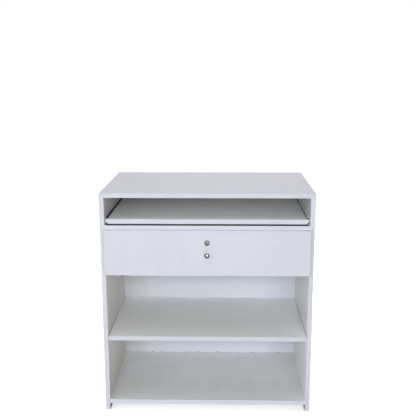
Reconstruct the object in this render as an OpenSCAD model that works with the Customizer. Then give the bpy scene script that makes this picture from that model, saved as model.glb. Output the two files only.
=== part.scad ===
// Shop counter in white melamine board, with a pull-out shelf, a drawer that locks and two open bays.
// The origin lies on the floor, midway between the ends and halfway from the knob to the rear edge.
// +X points right, -Y points to the shopkeeper and +Z points up.

/* [Carcass] */
// Width over the two side panels
width = 830; // [640:10:1200]
// Depth from the front edge to the rear edge
depth = 550; // [520:10:700]
// Height of the worktop above the floor
height = 900; // [780:10:1100]
// Thickness of the melamine board
board = 18; // [16:1:22]
// Thickness of the edging strip
edge_t = 1; // [0.9:0.1:2]
// Radius on the outer corners of the edging strip
edge_r = 0.8; // [0.3:0.1:0.8]
// Clear height under the bottom shelf
toe_gap = 27; // [20:1:100]
// Clear height between the bottom shelf and the middle shelf
lower_bay = 256.5; // [180:0.5:300]
// How far the back panel stands in from the rear edge
rear_recess = 35; // [20:1:50]
// Gap between each end of the middle shelf and the side panel
shelf_play = 1; // [0.5:0.1:2]

/* [Pull-out shelf] */
// Clear height between the pull-out shelf and the worktop
tray_bay = 84; // [70:1:140]
// Gap between the pull-out shelf and the divider under it
tray_gap = 6; // [4:0.5:8]
// Room behind the pull-out shelf
tray_rear = 34; // [20:1:80]
// How far the pull-out shelf stands behind the front edge
tray_setback = 3; // [1:0.5:6]

/* [Drawer] */
// Height of the drawer front
front_h = 180; // [160:5:220]
// How far the drawer front covers the edges round its bay
front_overlay = 3; // [2:0.5:8]
// Gap between the drawer front and the edges behind it
front_gap = 2; // [1:0.5:2.5]
// Thickness of the drawer box boards
box_board = 16; // [15:1:18]
// Height of the drawer box above the lower edge of the drawer front
box_lift = 12; // [8:1:20]
// Thickness of the hardboard bottom
bottom_t = 3; // [2.5:0.1:4]
// Height of the bottom's groove above the lower edge of the box
groove_lift = 10; // [8:1:14]
// Depth of the bottom's groove
groove_in = 8; // [5:0.5:9]

/* [Lock and knob] */
// Lock centre below the top edge of the drawer front
lock_drop = 48.5; // [42:0.5:54]
// Knob centre below the top edge of the drawer front
knob_drop = 96; // [90:1:105]
// Radius of the lock's flange
lock_flange_r = 10.5; // [10:0.1:12]
// Radius of the lock's barrel
barrel_r = 9; // [8.5:0.1:9.5]
// Radius of the plug that the key turns
plug_r = 6.4; // [6:0.1:7]
// Thickness of the lock cam
lock_cam_t = 2; // [1.5:0.1:2.5]
// How far the strike hangs below the divider
strike_drop = 16; // [12:1:20]
// Radius of the knob's head
knob_r = 10; // [8:0.5:14]
// How far the knob stands out
knob_len = 22; // [18:1:30]

/* [Slides] */
// Room behind the slides
slide_rear = 45; // [20:1:80]
// How far each slide stands behind the front edge
slide_setback = 2; // [1:0.5:4]
// Height of the pull-out shelf's slides
tray_slide_h = 35; // [32:1:38]
// Height of the drawer's slides
drawer_slide_h = 45; // [40:1:50]
// Thickness of the slides' steel sheet
sheet = 0.9; // [0.8:0.05:1.1]
// Radius of the slides' balls
ball_r = 1.5; // [1.3:0.1:1.8]
// Balls in each row
balls = 7; // [4:1:9]
// Spacing of the balls in a row
ball_pitch = 27; // [20:1:30]

/* [Fixings] */
// Distance from a board's end to its cam
cam_back = 24; // [22:1:34]
// Radius of the cams
cam_r = 7.4; // [7:0.1:7.5]
// Radius of the dowels
dowel_r = 4; // [3:0.5:4]
// First fixing behind the front edge
fix_front = 60; // [40:5:90]
// Last fixing ahead of the back panel
fix_rear = 77; // [60:1:120]
// Spacing between a cam and the dowel beside it
dowel_step = 32; // [20:1:40]
// Radius of the shelf pins
pin_r = 2.5; // [2:0.25:3]

/* [Hidden] */
$fn = 48;

// Clearance round a pin or thread in its hole
fit = 0.05;
// Overshoot of a cut past the face that it opens on
cut = 1;

// Places of the boards
front_face = front_gap + board;
front_y = (front_face + knob_len - depth) / 2;
side_x = width / 2 - board;
back_y = front_y + depth - rear_recess - board;
top_z = height - board;
tray_z = top_z - tray_bay - board;
divider_z = tray_z - tray_gap - board;
tray_d = back_y - front_y - tray_setback - tray_rear;
slide_y = front_y + slide_setback;
slide_len = back_y - slide_y - slide_rear;
middle_z = toe_gap + board + lower_bay;

// Drawer front and box
front_w = 2 * (side_x + front_overlay);
front_top = divider_z + front_overlay;
front_z = front_top - front_h;
box_y = front_y - front_gap;
box_len = slide_len;
box_z = front_z + box_lift;
lock_z = front_top - lock_drop;
knob_z = front_top - knob_drop;
nut_r = 12.7;
nut_room = 7;
box_top = lock_z - nut_r - nut_room;
bottom_z = box_z + groove_lift;
groove_play = 0.1;

// Slide section, from the side panel at u = 0 to the moving piece at u = slide_w
race_play = 0.15;
race_r = ball_r + race_play;
race_out = race_r + sheet;
half_turn = 180;
bend = 30;
head_room = 2.3;
run_gap = 0.55;
middle_u = sheet + head_room;
outer_row_u = middle_u + race_out * cos(bend);
inner_row_u = outer_row_u + (race_r + race_out) * cos(bend);
row_drop = (race_r + race_out) * sin(bend);
slide_w = inner_row_u + race_out * cos(bend) + run_gap + sheet;
lip_end = 20;
inner_lip = 225;
race_lap = 3;
middle_setback = 4;
cage_t = 0.5;
cage_gap = 0.25;
cage_end = 6;
cage_len = (balls - 1) * ball_pitch + 2 * (ball_r + cage_end);
tray_slide_rest = 0.5;
tray_slide_z = divider_z + board + tray_slide_rest + tray_slide_h / 2;
drawer_slide_z = (box_z + box_top) / 2;
tray_x = side_x - slide_w;
screw_first = 37;
screw_pitch = 160;
slide_screws = [screw_first, screw_first + screw_pitch, screw_first + 2 * screw_pitch];
// Height and mid level of each kind of slide
tray_slide = [tray_slide_h, tray_slide_z];
drawer_slide = [drawer_slide_h, drawer_slide_z];
// Holes and slots in the slides' webs, and the plastic pieces pegged into them
slot_r = 2.3;
slot_len = 8;
slot_after = 25;
access_r = 5;
access_slot_r = 2.5;
bumper_t = 3.4;
bumper_half = 6;
peg_r = 2;
lever_at = 70;
lever_t = 1.8;
lever_len = 48;
lever_w = 4;
lever_boss_r = 4.5;

// Screws
screw_r = 1.7;
screw_head_r = 3.3;
screw_head_h = 1.2;
screw_head_slope = 0.5;
screw_len = 14;
screw_tip = 3;
screw_tip_r = 0.3;
recess_r = 1.4;
recess_d = 1;
sunk_head_h = 2;
long_screw_len = 30;
knob_screw_r = 2;
knob_screw_head_r = 4;
knob_screw_head_h = 2.6;
knob_thread = 9;
// Screws through the box front, and in from the corners of the box
fix_x = front_w / 3;
fix_in = 20;
fix_z = [box_z + fix_in, box_top - fix_in];
corner_in = 10;

// Lock, strike and cam, measured along the lock from the face of the drawer front
flange_t = 2.4;
lock_hole_play = 0.2;
barrel_flats = 16;
nut_t = 4;
barrel_end = 1.5;
barrel_len = board + nut_t + barrel_end;
plug_recess = 0.5;
key_w = 1.8;
key_h = 8.6;
key_d = 12;
cam_gap = 0.2;
cam_screw_in = 6;
cam_screw_head_r = 5;
cam_screw_head_h = 2.2;
square_w = 7;
strike_t = 1.5;
strike_w = 50;
strike_depth = 18;
strike_gap = 1;
strike_y = front_y - front_face + barrel_len + cam_gap - strike_gap - strike_t;
strike_screw_x = 17;
strike_screw_y = 11;
lock_cam_w = 14;
lock_cam_hub_r = 8;
cam_tip_gap = 3.5;
cam_reach = divider_z - lock_z - cam_tip_gap;

// Knob
knob_foot_r = 6.5;
knob_foot_t = 2;
knob_waist_r = 4.5;
knob_head_t = 9;
knob_rim_t = 3;

// Fixings of the carcass
cam_h = 12;
cam_sink = 1;
cam_hole_play = 0.1;
cap_r = 8.6;
cap_t = 1;
bolt_in = 11;
bolt_thread_r = 2.5;
bolt_shank_r = 3;
bolt_neck_r = 1.9;
bolt_head_r = 3.4;
bolt_head_h = 4;
bolt_hole_r = 3.9;
dowel_in = 12;
dowel_out = 18;
dowel_chamfer = 1;
cam_y = [front_y + fix_front, back_y - fix_rear];
dowel_y = [cam_y[0] + dowel_step, cam_y[1] - dowel_step];
back_cam_low = 110;
back_cam_high = 40;
back_cam_z = [toe_gap + board + back_cam_low, divider_z - back_cam_high];
back_dowel_z = [back_cam_z[0] + dowel_step, back_cam_z[1] - dowel_step];
back_dowel_x = side_x / 2;
shelf_levels = [toe_gap + board / 2, divider_z + board / 2];
pin_in = 9;
pin_hole = 10;
pin_seat_r = 3.5;
pin_seat_len = 9;
pin_from_end = 50;
pin_y = [front_y + pin_from_end, back_y - pin_from_end];

white = [0.91, 0.92, 0.94];
edge_white = [0.93, 0.93, 0.96];
zinc = [0.72, 0.74, 0.76];
steel = [0.80, 0.80, 0.81];
beech = [0.80, 0.66, 0.46];

// Turn children so that their +Z points along +X or -X, or along +Y or -Y
module face_x(sign) rotate([0, sign * 90, 0]) children();
module face_y(sign) rotate([-sign * 90, 0, 0]) children();
module both_sides() {
    children();
    mirror([1, 0, 0]) children();
}
module slab(low, high) translate(low) cube(high - low);

// Edging strip: a flat bar with its two outer corners rounded, outer face at x = 0
module edge_profile() {
    intersection() {
        square([edge_t, board]);
        union() {
            translate([edge_r, 0]) square([edge_t, board]);
            translate([0, edge_r]) square([edge_t, board - 2 * edge_r]);
            for (v = [edge_r, board - edge_r]) translate([edge_r, v]) circle(edge_r);
        }
    }
}
module strip_x(length) rotate([90, 0, 90]) linear_extrude(length) edge_profile();
module strip_y(length) rotate([90, 0, 0]) linear_extrude(length) edge_profile();
module strip_z(length) rotate([0, 0, 90]) linear_extrude(length) edge_profile();

// Four strips round a board that lies flat with its corner at the origin
module edging_ring(w, d) {
    strip_x(w);
    translate([0, d, 0]) mirror([0, 1, 0]) strip_x(w);
    translate([0, d - edge_t, 0]) strip_y(d - 2 * edge_t);
    translate([w, d - edge_t, 0]) mirror([1, 0, 0]) strip_y(d - 2 * edge_t);
}

// Frames of the left side's joints: the origin is at mid thickness on the joint, +Z runs into the
// board that holds the cam, and +X points to the face that the cam is let into
module shelf_joints(ys) for (z = shelf_levels, y = ys) translate([-side_x, y, z]) face_x(1) children();
module top_joints(ys) for (y = ys) translate([-side_x - board / 2, y, top_z]) mirror([0, 0, 1]) children();
module back_joints(zs) {
    for (z = zs) translate([-side_x, back_y + board / 2, z]) face_x(1) rotate([0, 0, 90]) children();
}

// Frames of the back panel's dowels: along its top edge, its lower edge and the divider
module back_top_joints() translate([-back_dowel_x, back_y + board / 2, top_z]) mirror([0, 0, 1]) children();
module back_foot_joints() translate([-back_dowel_x, back_y + board / 2, toe_gap + board]) children();
module back_divider_joints() {
    translate([-back_dowel_x, back_y, divider_z + board / 2]) face_y(-1) children();
}

module in_cam_seat() translate([board / 2, 0, cam_back]) rotate([0, -90, 0]) children();
module cam_hole() {
    in_cam_seat() translate([0, 0, -cut]) cylinder(h = cam_sink + cam_h + cut, r = cam_r + cam_hole_play);
    translate([0, 0, -cut]) cylinder(h = cam_back + cut, r = bolt_hole_r);
}
module bolt_hole() {
    translate([0, 0, -bolt_in - fit]) cylinder(h = bolt_in + fit + cut, r = bolt_thread_r + fit);
}
module dowel_hole_in_face() {
    translate([0, 0, -dowel_in - fit]) cylinder(h = dowel_in + fit + cut, r = dowel_r + fit);
}
module dowel_hole_in_end() translate([0, 0, -cut]) cylinder(h = dowel_out + fit + cut, r = dowel_r + fit);

// Frame of a left slide: +X runs from the side panel to the moving piece, +Z runs to the rear
module slide_frame(z) translate([-side_x, slide_y, z]) rotate([-90, 0, 0]) children();
module at_slide_screws() for (at = slide_screws) translate([0, 0, at]) children();

// Pilot holes of a slide's screws in the side panel and in the piece that the slide carries
module side_pilots(z) {
    slide_frame(z) at_slide_screws() translate([cut, 0, 0]) face_x(-1)
        cylinder(h = cut + screw_len - sheet + fit, r = screw_r + fit);
}
module carried_pilots(z) {
    slide_frame(z) at_slide_screws() translate([slide_w - cut, 0, 0]) face_x(1)
        cylinder(h = cut + screw_len - sheet + fit, r = screw_r + fit);
}

module top_panel() {
    color(white) difference() {
        slab([-width / 2 + edge_t, front_y + edge_t, top_z],
            [width / 2 - edge_t, front_y + depth - edge_t, height]);
        both_sides() {
            top_joints(cam_y) bolt_hole();
            top_joints(dowel_y) dowel_hole_in_face();
            back_top_joints() dowel_hole_in_face();
        }
    }
}

module side_board() {
    color(white) difference() {
        slab([-width / 2, front_y + edge_t, 0], [-side_x, front_y + depth - edge_t, top_z]);
        shelf_joints(cam_y) bolt_hole();
        shelf_joints(dowel_y) dowel_hole_in_face();
        top_joints(cam_y) cam_hole();
        top_joints(dowel_y) dowel_hole_in_end();
        back_joints(back_cam_z) bolt_hole();
        back_joints(back_dowel_z) dowel_hole_in_face();
        pin_frames() translate([0, 0, -pin_hole]) cylinder(h = pin_hole + cut, r = pin_r + fit);
        side_pilots(tray_slide_z);
        side_pilots(drawer_slide_z);
    }
}
module left_side() side_board();
module right_side() mirror([1, 0, 0]) side_board();

module back_panel() {
    color(white) difference() {
        slab([-side_x, back_y, toe_gap + board], [side_x, back_y + board, top_z]);
        both_sides() {
            back_joints(back_cam_z) cam_hole();
            back_joints(back_dowel_z) dowel_hole_in_end();
            back_top_joints() dowel_hole_in_end();
            back_foot_joints() dowel_hole_in_end();
            back_divider_joints() dowel_hole_in_face();
        }
    }
}

// Holes in the ends of the divider and the bottom shelf
module shelf_end_holes() {
    both_sides() {
        shelf_joints(cam_y) cam_hole();
        shelf_joints(dowel_y) dowel_hole_in_end();
    }
}

module divider_shelf() {
    color(white) difference() {
        slab([-side_x, front_y + edge_t, divider_z], [side_x, back_y, divider_z + board]);
        shelf_end_holes();
        both_sides() back_divider_joints() dowel_hole_in_end();
        strike_frame() strike_screw_places() translate([0, 0, -cut])
            cylinder(h = cut + screw_len - strike_t + fit, r = screw_r + fit);
    }
}

module middle_shelf() {
    end_x = side_x - shelf_play;
    color(white) slab([-end_x, front_y + edge_t, middle_z], [end_x, back_y, middle_z + board]);
}

module bottom_shelf() {
    color(white) difference() {
        slab([-side_x, front_y + edge_t, toe_gap], [side_x, back_y + board - edge_t, toe_gap + board]);
        shelf_end_holes();
        both_sides() back_foot_joints() dowel_hole_in_face();
    }
}

module top_edging() {
    color(edge_white) translate([-width / 2, front_y, top_z]) edging_ring(width, depth);
}

module side_edging() {
    color(edge_white) both_sides() {
        translate([-side_x, front_y, 0]) strip_z(top_z);
        translate([-side_x, front_y + depth, 0]) mirror([0, 1, 0]) strip_z(top_z);
    }
}

// Front strips of the three shelves, and the rear strip of the bottom shelf
module shelf_edging() {
    end_x = side_x - shelf_play;
    color(edge_white) {
        for (z = [divider_z, toe_gap]) translate([-side_x, front_y, z]) strip_x(2 * side_x);
        translate([-end_x, front_y, middle_z]) strip_x(2 * end_x);
        translate([-side_x, back_y + board, toe_gap]) mirror([0, 1, 0]) strip_x(2 * side_x);
    }
}

// Grooveless dowel with chamfered ends, reaching into both boards from the joint
module dowel() {
    r = dowel_r;
    c = dowel_chamfer;
    rotate_extrude() polygon([
        [0, -dowel_in], [r - c, -dowel_in], [r, -dowel_in + c],
        [r, dowel_out - c], [r - c, dowel_out], [0, dowel_out]
    ]);
}

module panel_dowels() {
    color(beech) both_sides() {
        shelf_joints(dowel_y) dowel();
        top_joints(dowel_y) dowel();
        back_joints(back_dowel_z) dowel();
        back_top_joints() dowel();
        back_foot_joints() dowel();
        back_divider_joints() dowel();
    }
}

// Cam disc with the pocket that takes the bolt's head, and a cross slot in its face
module joint_cam() {
    slot_l = 10;
    slot_w = 1.6;
    slot_d = 2.5;
    difference() {
        in_cam_seat() translate([0, 0, cam_sink]) cylinder(h = cam_h, r = cam_r);
        translate([0, 0, cam_back - cam_r - cut])
            cylinder(h = cam_r + cut + bolt_head_h / 2 + fit, r = bolt_head_r + fit);
        in_cam_seat() for (turn = [0, 90]) rotate([0, 0, turn])
            translate([-slot_l / 2, -slot_w / 2, 0]) cube([slot_l, slot_w, cam_sink + slot_d]);
    }
}

module joint_cams() {
    color(zinc) both_sides() {
        shelf_joints(cam_y) joint_cam();
        top_joints(cam_y) joint_cam();
        back_joints(back_cam_z) joint_cam();
    }
}

module joint_bolt() {
    neck = cam_back - bolt_head_h / 2;
    shank = cam_back - cam_r + cut;
    rotate_extrude() polygon([
        [0, -bolt_in], [bolt_thread_r, -bolt_in], [bolt_thread_r, 0], [bolt_shank_r, 0],
        [bolt_shank_r, shank], [bolt_neck_r, shank], [bolt_neck_r, neck], [bolt_head_r, neck],
        [bolt_head_r, cam_back + bolt_head_h / 2], [0, cam_back + bolt_head_h / 2]
    ]);
}

module joint_bolts() {
    color(zinc) both_sides() {
        shelf_joints(cam_y) joint_bolt();
        top_joints(cam_y) joint_bolt();
        back_joints(back_cam_z) joint_bolt();
    }
}

// Plastic cap over a cam, with a short plug that sits in the cam's hole
module cam_cap() {
    in_cam_seat() {
        translate([0, 0, -cap_t]) cylinder(h = cap_t, r1 = cap_r - cap_t / 2, r2 = cap_r);
        cylinder(h = cam_sink - fit, r = cam_r);
    }
}

module cam_caps() {
    color(white) both_sides() {
        top_joints(cam_y) cam_cap();
        back_joints(back_cam_z) cam_cap();
    }
}

// Frames of the left shelf pins: +Z runs into the bay, -X points up
module pin_frames() {
    for (y = pin_y) translate([-side_x, y, middle_z - pin_r]) face_x(1) children();
}

module shelf_pins() {
    color(steel) both_sides() pin_frames() {
        translate([0, 0, -pin_in]) cylinder(h = pin_in, r = pin_r);
        intersection() {
            cylinder(h = pin_seat_len, r = pin_seat_r);
            translate([-pin_r, -pin_seat_r, 0]) cube([pin_r + pin_seat_r, 2 * pin_seat_r, pin_seat_len]);
        }
    }
}

module screw_shank(from, length) {
    translate([0, 0, from]) cylinder(h = length - from - screw_tip, r = screw_r);
    translate([0, 0, length - screw_tip]) cylinder(h = screw_tip, r1 = screw_r, r2 = screw_tip_r);
}
module driver_recess(r = recess_r) {
    translate([0, 0, -cut]) cylinder(h = cut + recess_d, r = r, $fn = 4);
}

// Wood screw driven along +Z, with its head below z = 0
module pan_screw(length) {
    difference() {
        union() {
            translate([0, 0, -screw_head_h])
                cylinder(h = screw_head_h, r1 = screw_head_r - screw_head_slope, r2 = screw_head_r);
            screw_shank(0, length);
        }
        translate([0, 0, -screw_head_h]) driver_recess();
    }
}

// The same with a sunk head that ends flush at z = 0
module sunk_screw(length) {
    difference() {
        union() {
            cylinder(h = sunk_head_h, r1 = screw_head_r, r2 = screw_r);
            screw_shank(sunk_head_h, length);
        }
        driver_recess();
    }
}
module sunk_hole(length) {
    translate([0, 0, -cut]) cylinder(h = cut + length + fit, r = screw_r + fit);
    translate([0, 0, -fit]) cylinder(h = sunk_head_h + fit, r1 = screw_head_r + 2 * fit, r2 = screw_r + fit);
}

module carcass_screws() {
    color(steel) {
        both_sides() for (z = [tray_slide_z, drawer_slide_z]) slide_frame(z)
            at_slide_screws() translate([sheet, 0, 0]) face_x(-1) pan_screw(screw_len);
        strike_frame() strike_screw_places() translate([0, 0, -strike_t]) pan_screw(screw_len);
    }
}

// Wedge round the origin between two angles, reaching past the band
module sector(from, to) {
    steps = 4;
    polygon(concat([[0, 0]], [
        for (k = [0:steps]) let (t = from + (to - from) * k / steps) 3 * race_out * [cos(t), sin(t)]
    ]));
}

// Band of sheet round a row of balls, between two angles
module race(from, to) {
    intersection() {
        difference() {
            circle(race_out);
            circle(race_r);
        }
        sector(from, to);
    }
}
function outer_row_v(h) = h / 2 - race_out;
function inner_row_v(h) = outer_row_v(h) - row_drop;

module outer_profile(h) {
    translate([0, -h / 2]) square([sheet, h]);
    for (m = [0, 1]) mirror([0, m]) {
        translate([0, h / 2 - sheet]) square([outer_row_u, sheet]);
        translate([outer_row_u, outer_row_v(h)]) race(lip_end, 90);
    }
}

module middle_profile(h) {
    web_v = outer_row_v(h) - race_out * sin(bend);
    translate([middle_u, -web_v]) square([sheet, 2 * web_v]);
    for (m = [0, 1]) mirror([0, m]) {
        translate([outer_row_u, outer_row_v(h)]) race(half_turn + bend, 2 * half_turn - bend + race_lap);
        translate([inner_row_u, inner_row_v(h)]) race(bend, half_turn - bend);
    }
}

module inner_profile(h) {
    flange_v = inner_row_v(h) - race_r;
    translate([slide_w - sheet, -flange_v]) square([sheet, 2 * flange_v]);
    for (m = [0, 1]) mirror([0, m]) {
        translate([inner_row_u, flange_v - sheet]) square([slide_w - inner_row_u, sheet]);
        translate([inner_row_u, inner_row_v(h)]) race(inner_lip, 270);
    }
}

// Round hole and long slot through a slide's web
module web_hole(r) translate([-cut, 0, 0]) face_x(1) cylinder(h = slide_w + 2 * cut, r = r);
module web_slot(r, length) {
    for (end = [-1, 1]) translate([0, 0, end * length / 2]) web_hole(r);
    translate([-cut, -r, -length / 2]) cube([slide_w + 2 * cut, 2 * r, length]);
}

module slide_outer(s) {
    color(zinc) slide_frame(s[1]) difference() {
        linear_extrude(slide_len) outer_profile(s[0]);
        at_slide_screws() web_hole(screw_r + fit);
        at_slide_screws() translate([0, 0, slot_after]) web_slot(slot_r, slot_len);
        translate([0, 0, slide_len - bumper_t / 2]) web_hole(peg_r + fit);
    }
}
module slide_middle(s) {
    color(zinc) slide_frame(s[1]) difference() {
        translate([0, 0, middle_setback]) linear_extrude(slide_len - 2 * middle_setback) middle_profile(s[0]);
        at_slide_screws() web_hole(access_r);
        at_slide_screws() translate([0, 0, screw_pitch / 2]) web_slot(access_slot_r, slot_len);
    }
}
module slide_inner(s) {
    color(zinc) slide_frame(s[1]) difference() {
        linear_extrude(slide_len - middle_setback) inner_profile(s[0]);
        at_slide_screws() web_hole(screw_r + fit);
        translate([0, 0, lever_at]) web_hole(peg_r + fit);
    }
}

// Retainers: a web with a flange along each row of balls, notched where the balls sit
module outer_cage_profile(h) {
    web_u = middle_u - cage_gap - cage_t;
    row_v = outer_row_v(h);
    translate([web_u, -row_v - cage_t / 2]) square([cage_t, 2 * row_v + cage_t]);
    for (m = [0, 1]) mirror([0, m]) translate([web_u, row_v - cage_t / 2])
        square([outer_row_u + 2 * cage_t - web_u, cage_t]);
}
module inner_cage_profile(h) {
    web_u = middle_u + sheet + 2 * cage_gap;
    flange = (inner_row_u - web_u) / cos(bend);
    foot_v = inner_row_v(h) - flange * sin(bend) + cage_t / 2;
    translate([web_u, -foot_v]) square([cage_t, 2 * foot_v]);
    for (m = [0, 1]) mirror([0, m]) translate([inner_row_u, inner_row_v(h)]) rotate(bend)
        translate([-flange, 0]) square([flange + 2 * cage_t, cage_t]);
}
module in_rows(u, v) {
    for (m = [0, 1], k = [0:balls - 1]) mirror([0, m, 0])
        translate([u, v, slide_len / 2 + (k - (balls - 1) / 2) * ball_pitch]) children();
}
module ball_hole(turn) rotate([90, 0, turn]) cylinder(h = 4 * cage_t, r = race_r, center = true);
module cage_body() translate([0, 0, (slide_len - cage_len) / 2]) linear_extrude(cage_len) children();
module outer_cage(s) {
    slide_frame(s[1]) difference() {
        cage_body() outer_cage_profile(s[0]);
        in_rows(outer_row_u, outer_row_v(s[0])) ball_hole(0);
    }
}
module inner_cage(s) {
    slide_frame(s[1]) difference() {
        cage_body() inner_cage_profile(s[0]);
        in_rows(inner_row_u, inner_row_v(s[0])) ball_hole(bend);
    }
}
module outer_balls(s) slide_frame(s[1]) in_rows(outer_row_u, outer_row_v(s[0])) sphere(ball_r);
module inner_balls(s) slide_frame(s[1]) in_rows(inner_row_u, inner_row_v(s[0])) sphere(ball_r);

// Plastic block that the moving members stop against, with a peg through the outer web
module slide_bumper() {
    translate([sheet, -bumper_half, slide_len - bumper_t])
        cube([slide_w - 3 * sheet, 2 * bumper_half, bumper_t]);
    translate([0, 0, slide_len - bumper_t / 2]) face_x(1) cylinder(h = sheet, r = peg_r);
}
module slide_bumpers() {
    color("dimgray") both_sides()
        for (z = [tray_slide_z, drawer_slide_z]) slide_frame(z) slide_bumper();
}

// Release lever that lies in the inner member, with a peg through its web
module slide_lever() {
    translate([slide_w - sheet - lever_t, 0, lever_at]) {
        face_x(1) cylinder(h = lever_t, r = lever_boss_r);
        translate([0, -lever_w / 2, 0]) cube([lever_t, lever_w, lever_len]);
        translate([0, 0, lever_len]) face_x(1) cylinder(h = lever_t, r = lever_w);
        translate([lever_t, 0, 0]) face_x(1) cylinder(h = sheet, r = peg_r);
    }
}
module tray_slide_levers() color("dimgray") both_sides() slide_frame(tray_slide_z) slide_lever();
module drawer_slide_levers() color("dimgray") both_sides() slide_frame(drawer_slide_z) slide_lever();

module tray_slide_left_outer() slide_outer(tray_slide);
module tray_slide_right_outer() mirror([1, 0, 0]) slide_outer(tray_slide);
module tray_slide_left_middle() slide_middle(tray_slide);
module tray_slide_right_middle() mirror([1, 0, 0]) slide_middle(tray_slide);
module tray_slide_left_inner() slide_inner(tray_slide);
module tray_slide_right_inner() mirror([1, 0, 0]) slide_inner(tray_slide);
module drawer_slide_left_outer() slide_outer(drawer_slide);
module drawer_slide_right_outer() mirror([1, 0, 0]) slide_outer(drawer_slide);
module drawer_slide_left_middle() slide_middle(drawer_slide);
module drawer_slide_right_middle() mirror([1, 0, 0]) slide_middle(drawer_slide);
module drawer_slide_left_inner() slide_inner(drawer_slide);
module drawer_slide_right_inner() mirror([1, 0, 0]) slide_inner(drawer_slide);
module tray_outer_cages() color(steel) both_sides() outer_cage(tray_slide);
module tray_inner_cages() color(steel) both_sides() inner_cage(tray_slide);
module tray_outer_balls() color(steel) both_sides() outer_balls(tray_slide);
module tray_inner_balls() color(steel) both_sides() inner_balls(tray_slide);
module drawer_outer_cages() color(steel) both_sides() outer_cage(drawer_slide);
module drawer_inner_cages() color(steel) both_sides() inner_cage(drawer_slide);
module drawer_outer_balls() color(steel) both_sides() outer_balls(drawer_slide);
module drawer_inner_balls() color(steel) both_sides() inner_balls(drawer_slide);

module tray_board() {
    tray_y = front_y + tray_setback;
    color(white) difference() {
        slab([-tray_x, tray_y + edge_t, tray_z], [tray_x, tray_y + tray_d, tray_z + board]);
        both_sides() carried_pilots(tray_slide_z);
    }
}
module tray_edging() {
    color(edge_white) translate([-tray_x, front_y + tray_setback, tray_z]) strip_x(2 * tray_x);
}
module tray_screws() {
    color(steel) both_sides() slide_frame(tray_slide_z) at_slide_screws()
        translate([slide_w - sheet, 0, 0]) face_x(1) pan_screw(screw_len);
}

// Drawer front, standing on edge in front of the carcass
module at_front_screws() {
    for (x = [-fix_x, fix_x], z = fix_z) translate([x, box_y + box_board, z]) face_y(-1) children();
}
module in_front_frame() translate([-front_w / 2, box_y, front_z]) rotate([90, 0, 0]) children();
module lock_frame() translate([0, front_y - front_face, lock_z]) face_y(1) children();
module knob_frame() translate([0, front_y - front_face, knob_z]) face_y(-1) children();

module drawer_front() {
    color(white) difference() {
        in_front_frame() slab([edge_t, edge_t, 0], [front_w - edge_t, front_h - edge_t, board]);
        lock_frame() translate([0, 0, -cut]) cylinder(h = board + 2 * cut, r = barrel_r + lock_hole_play);
        knob_frame() translate([0, 0, -board - cut]) cylinder(h = board + 2 * cut, r = knob_screw_r + fit);
        at_front_screws() cylinder(h = long_screw_len + fit, r = screw_r + fit);
    }
}
module drawer_front_edging() color(edge_white) in_front_frame() edging_ring(front_w, front_h);

// Groove for the hardboard bottom, all round the inside of the box
module bottom_groove() {
    inner_x = tray_x - box_board + groove_in;
    slab([-inner_x, box_y + box_board - groove_in, bottom_z - groove_play],
        [inner_x, box_y + box_len + cut, bottom_z + bottom_t + groove_play]);
}

// Frames of the screws through the left box side into the ends of the box front and back
module box_corner_screws() {
    for (y = [box_board / 2, box_len - box_board / 2], z = [bottom_z + corner_in, box_top - corner_in])
        translate([-tray_x, box_y + y, z]) face_x(1) children();
}
module box_side() {
    color(white) difference() {
        slab([-tray_x, box_y, box_z], [-tray_x + box_board, box_y + box_len, box_top]);
        bottom_groove();
        box_corner_screws() sunk_hole(long_screw_len);
        carried_pilots(drawer_slide_z);
    }
}
module drawer_box_left() box_side();
module drawer_box_right() mirror([1, 0, 0]) box_side();

module drawer_box_front() {
    inner_x = tray_x - box_board;
    color(white) difference() {
        slab([-inner_x, box_y, box_z], [inner_x, box_y + box_board, box_top]);
        bottom_groove();
        both_sides() box_corner_screws() sunk_hole(long_screw_len);
        at_front_screws() sunk_hole(long_screw_len);
        knob_frame() translate([0, 0, -board - box_board - cut])
            cylinder(h = box_board + 2 * cut, r = knob_screw_r + fit);
    }
}

// The back stands on the bottom, which slides in under it
module at_bottom_screws() {
    for (x = [-fix_x, 0, fix_x]) translate([x, box_y + box_len - box_board / 2, bottom_z]) children();
}
module drawer_box_back() {
    inner_x = tray_x - box_board;
    color(white) difference() {
        slab([-inner_x, box_y + box_len - box_board, bottom_z + bottom_t],
            [inner_x, box_y + box_len, box_top]);
        both_sides() box_corner_screws() sunk_hole(long_screw_len);
        at_bottom_screws() cylinder(h = screw_len + fit, r = screw_r + fit);
    }
}

module drawer_bottom() {
    edge_x = tray_x - box_board + groove_in - groove_play;
    color(white) difference() {
        slab([-edge_x, box_y + box_board - groove_in + groove_play, bottom_z],
            [edge_x, box_y + box_len, bottom_z + bottom_t]);
        at_bottom_screws() translate([0, 0, -cut]) cylinder(h = bottom_t + 2 * cut, r = screw_r + fit);
    }
}

module drawer_box_screws() {
    color(steel) {
        both_sides() box_corner_screws() sunk_screw(long_screw_len);
        at_front_screws() sunk_screw(long_screw_len);
    }
}
module drawer_screws() {
    color(steel) {
        both_sides() slide_frame(drawer_slide_z) at_slide_screws()
            translate([slide_w - sheet, 0, 0]) face_x(1) pan_screw(screw_len);
        at_bottom_screws() pan_screw(screw_len);
    }
}

// Lock, seen along +Z from the face of the drawer front
module lock_housing() {
    color(steel) lock_frame() difference() {
        union() {
            rotate_extrude() {
                translate([0, -flange_t]) square([lock_flange_r - flange_t, flange_t]);
                intersection() {
                    translate([lock_flange_r - flange_t, 0]) circle(flange_t);
                    translate([0, -flange_t]) square([lock_flange_r, flange_t]);
                }
            }
            intersection() {
                cylinder(h = barrel_len, r = barrel_r);
                translate([-barrel_r, -barrel_flats / 2, 0]) cube([2 * barrel_r, barrel_flats, barrel_len]);
            }
        }
        translate([0, 0, -flange_t - cut]) cylinder(h = flange_t + barrel_len + 2 * cut, r = plug_r + fit);
    }
}

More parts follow.
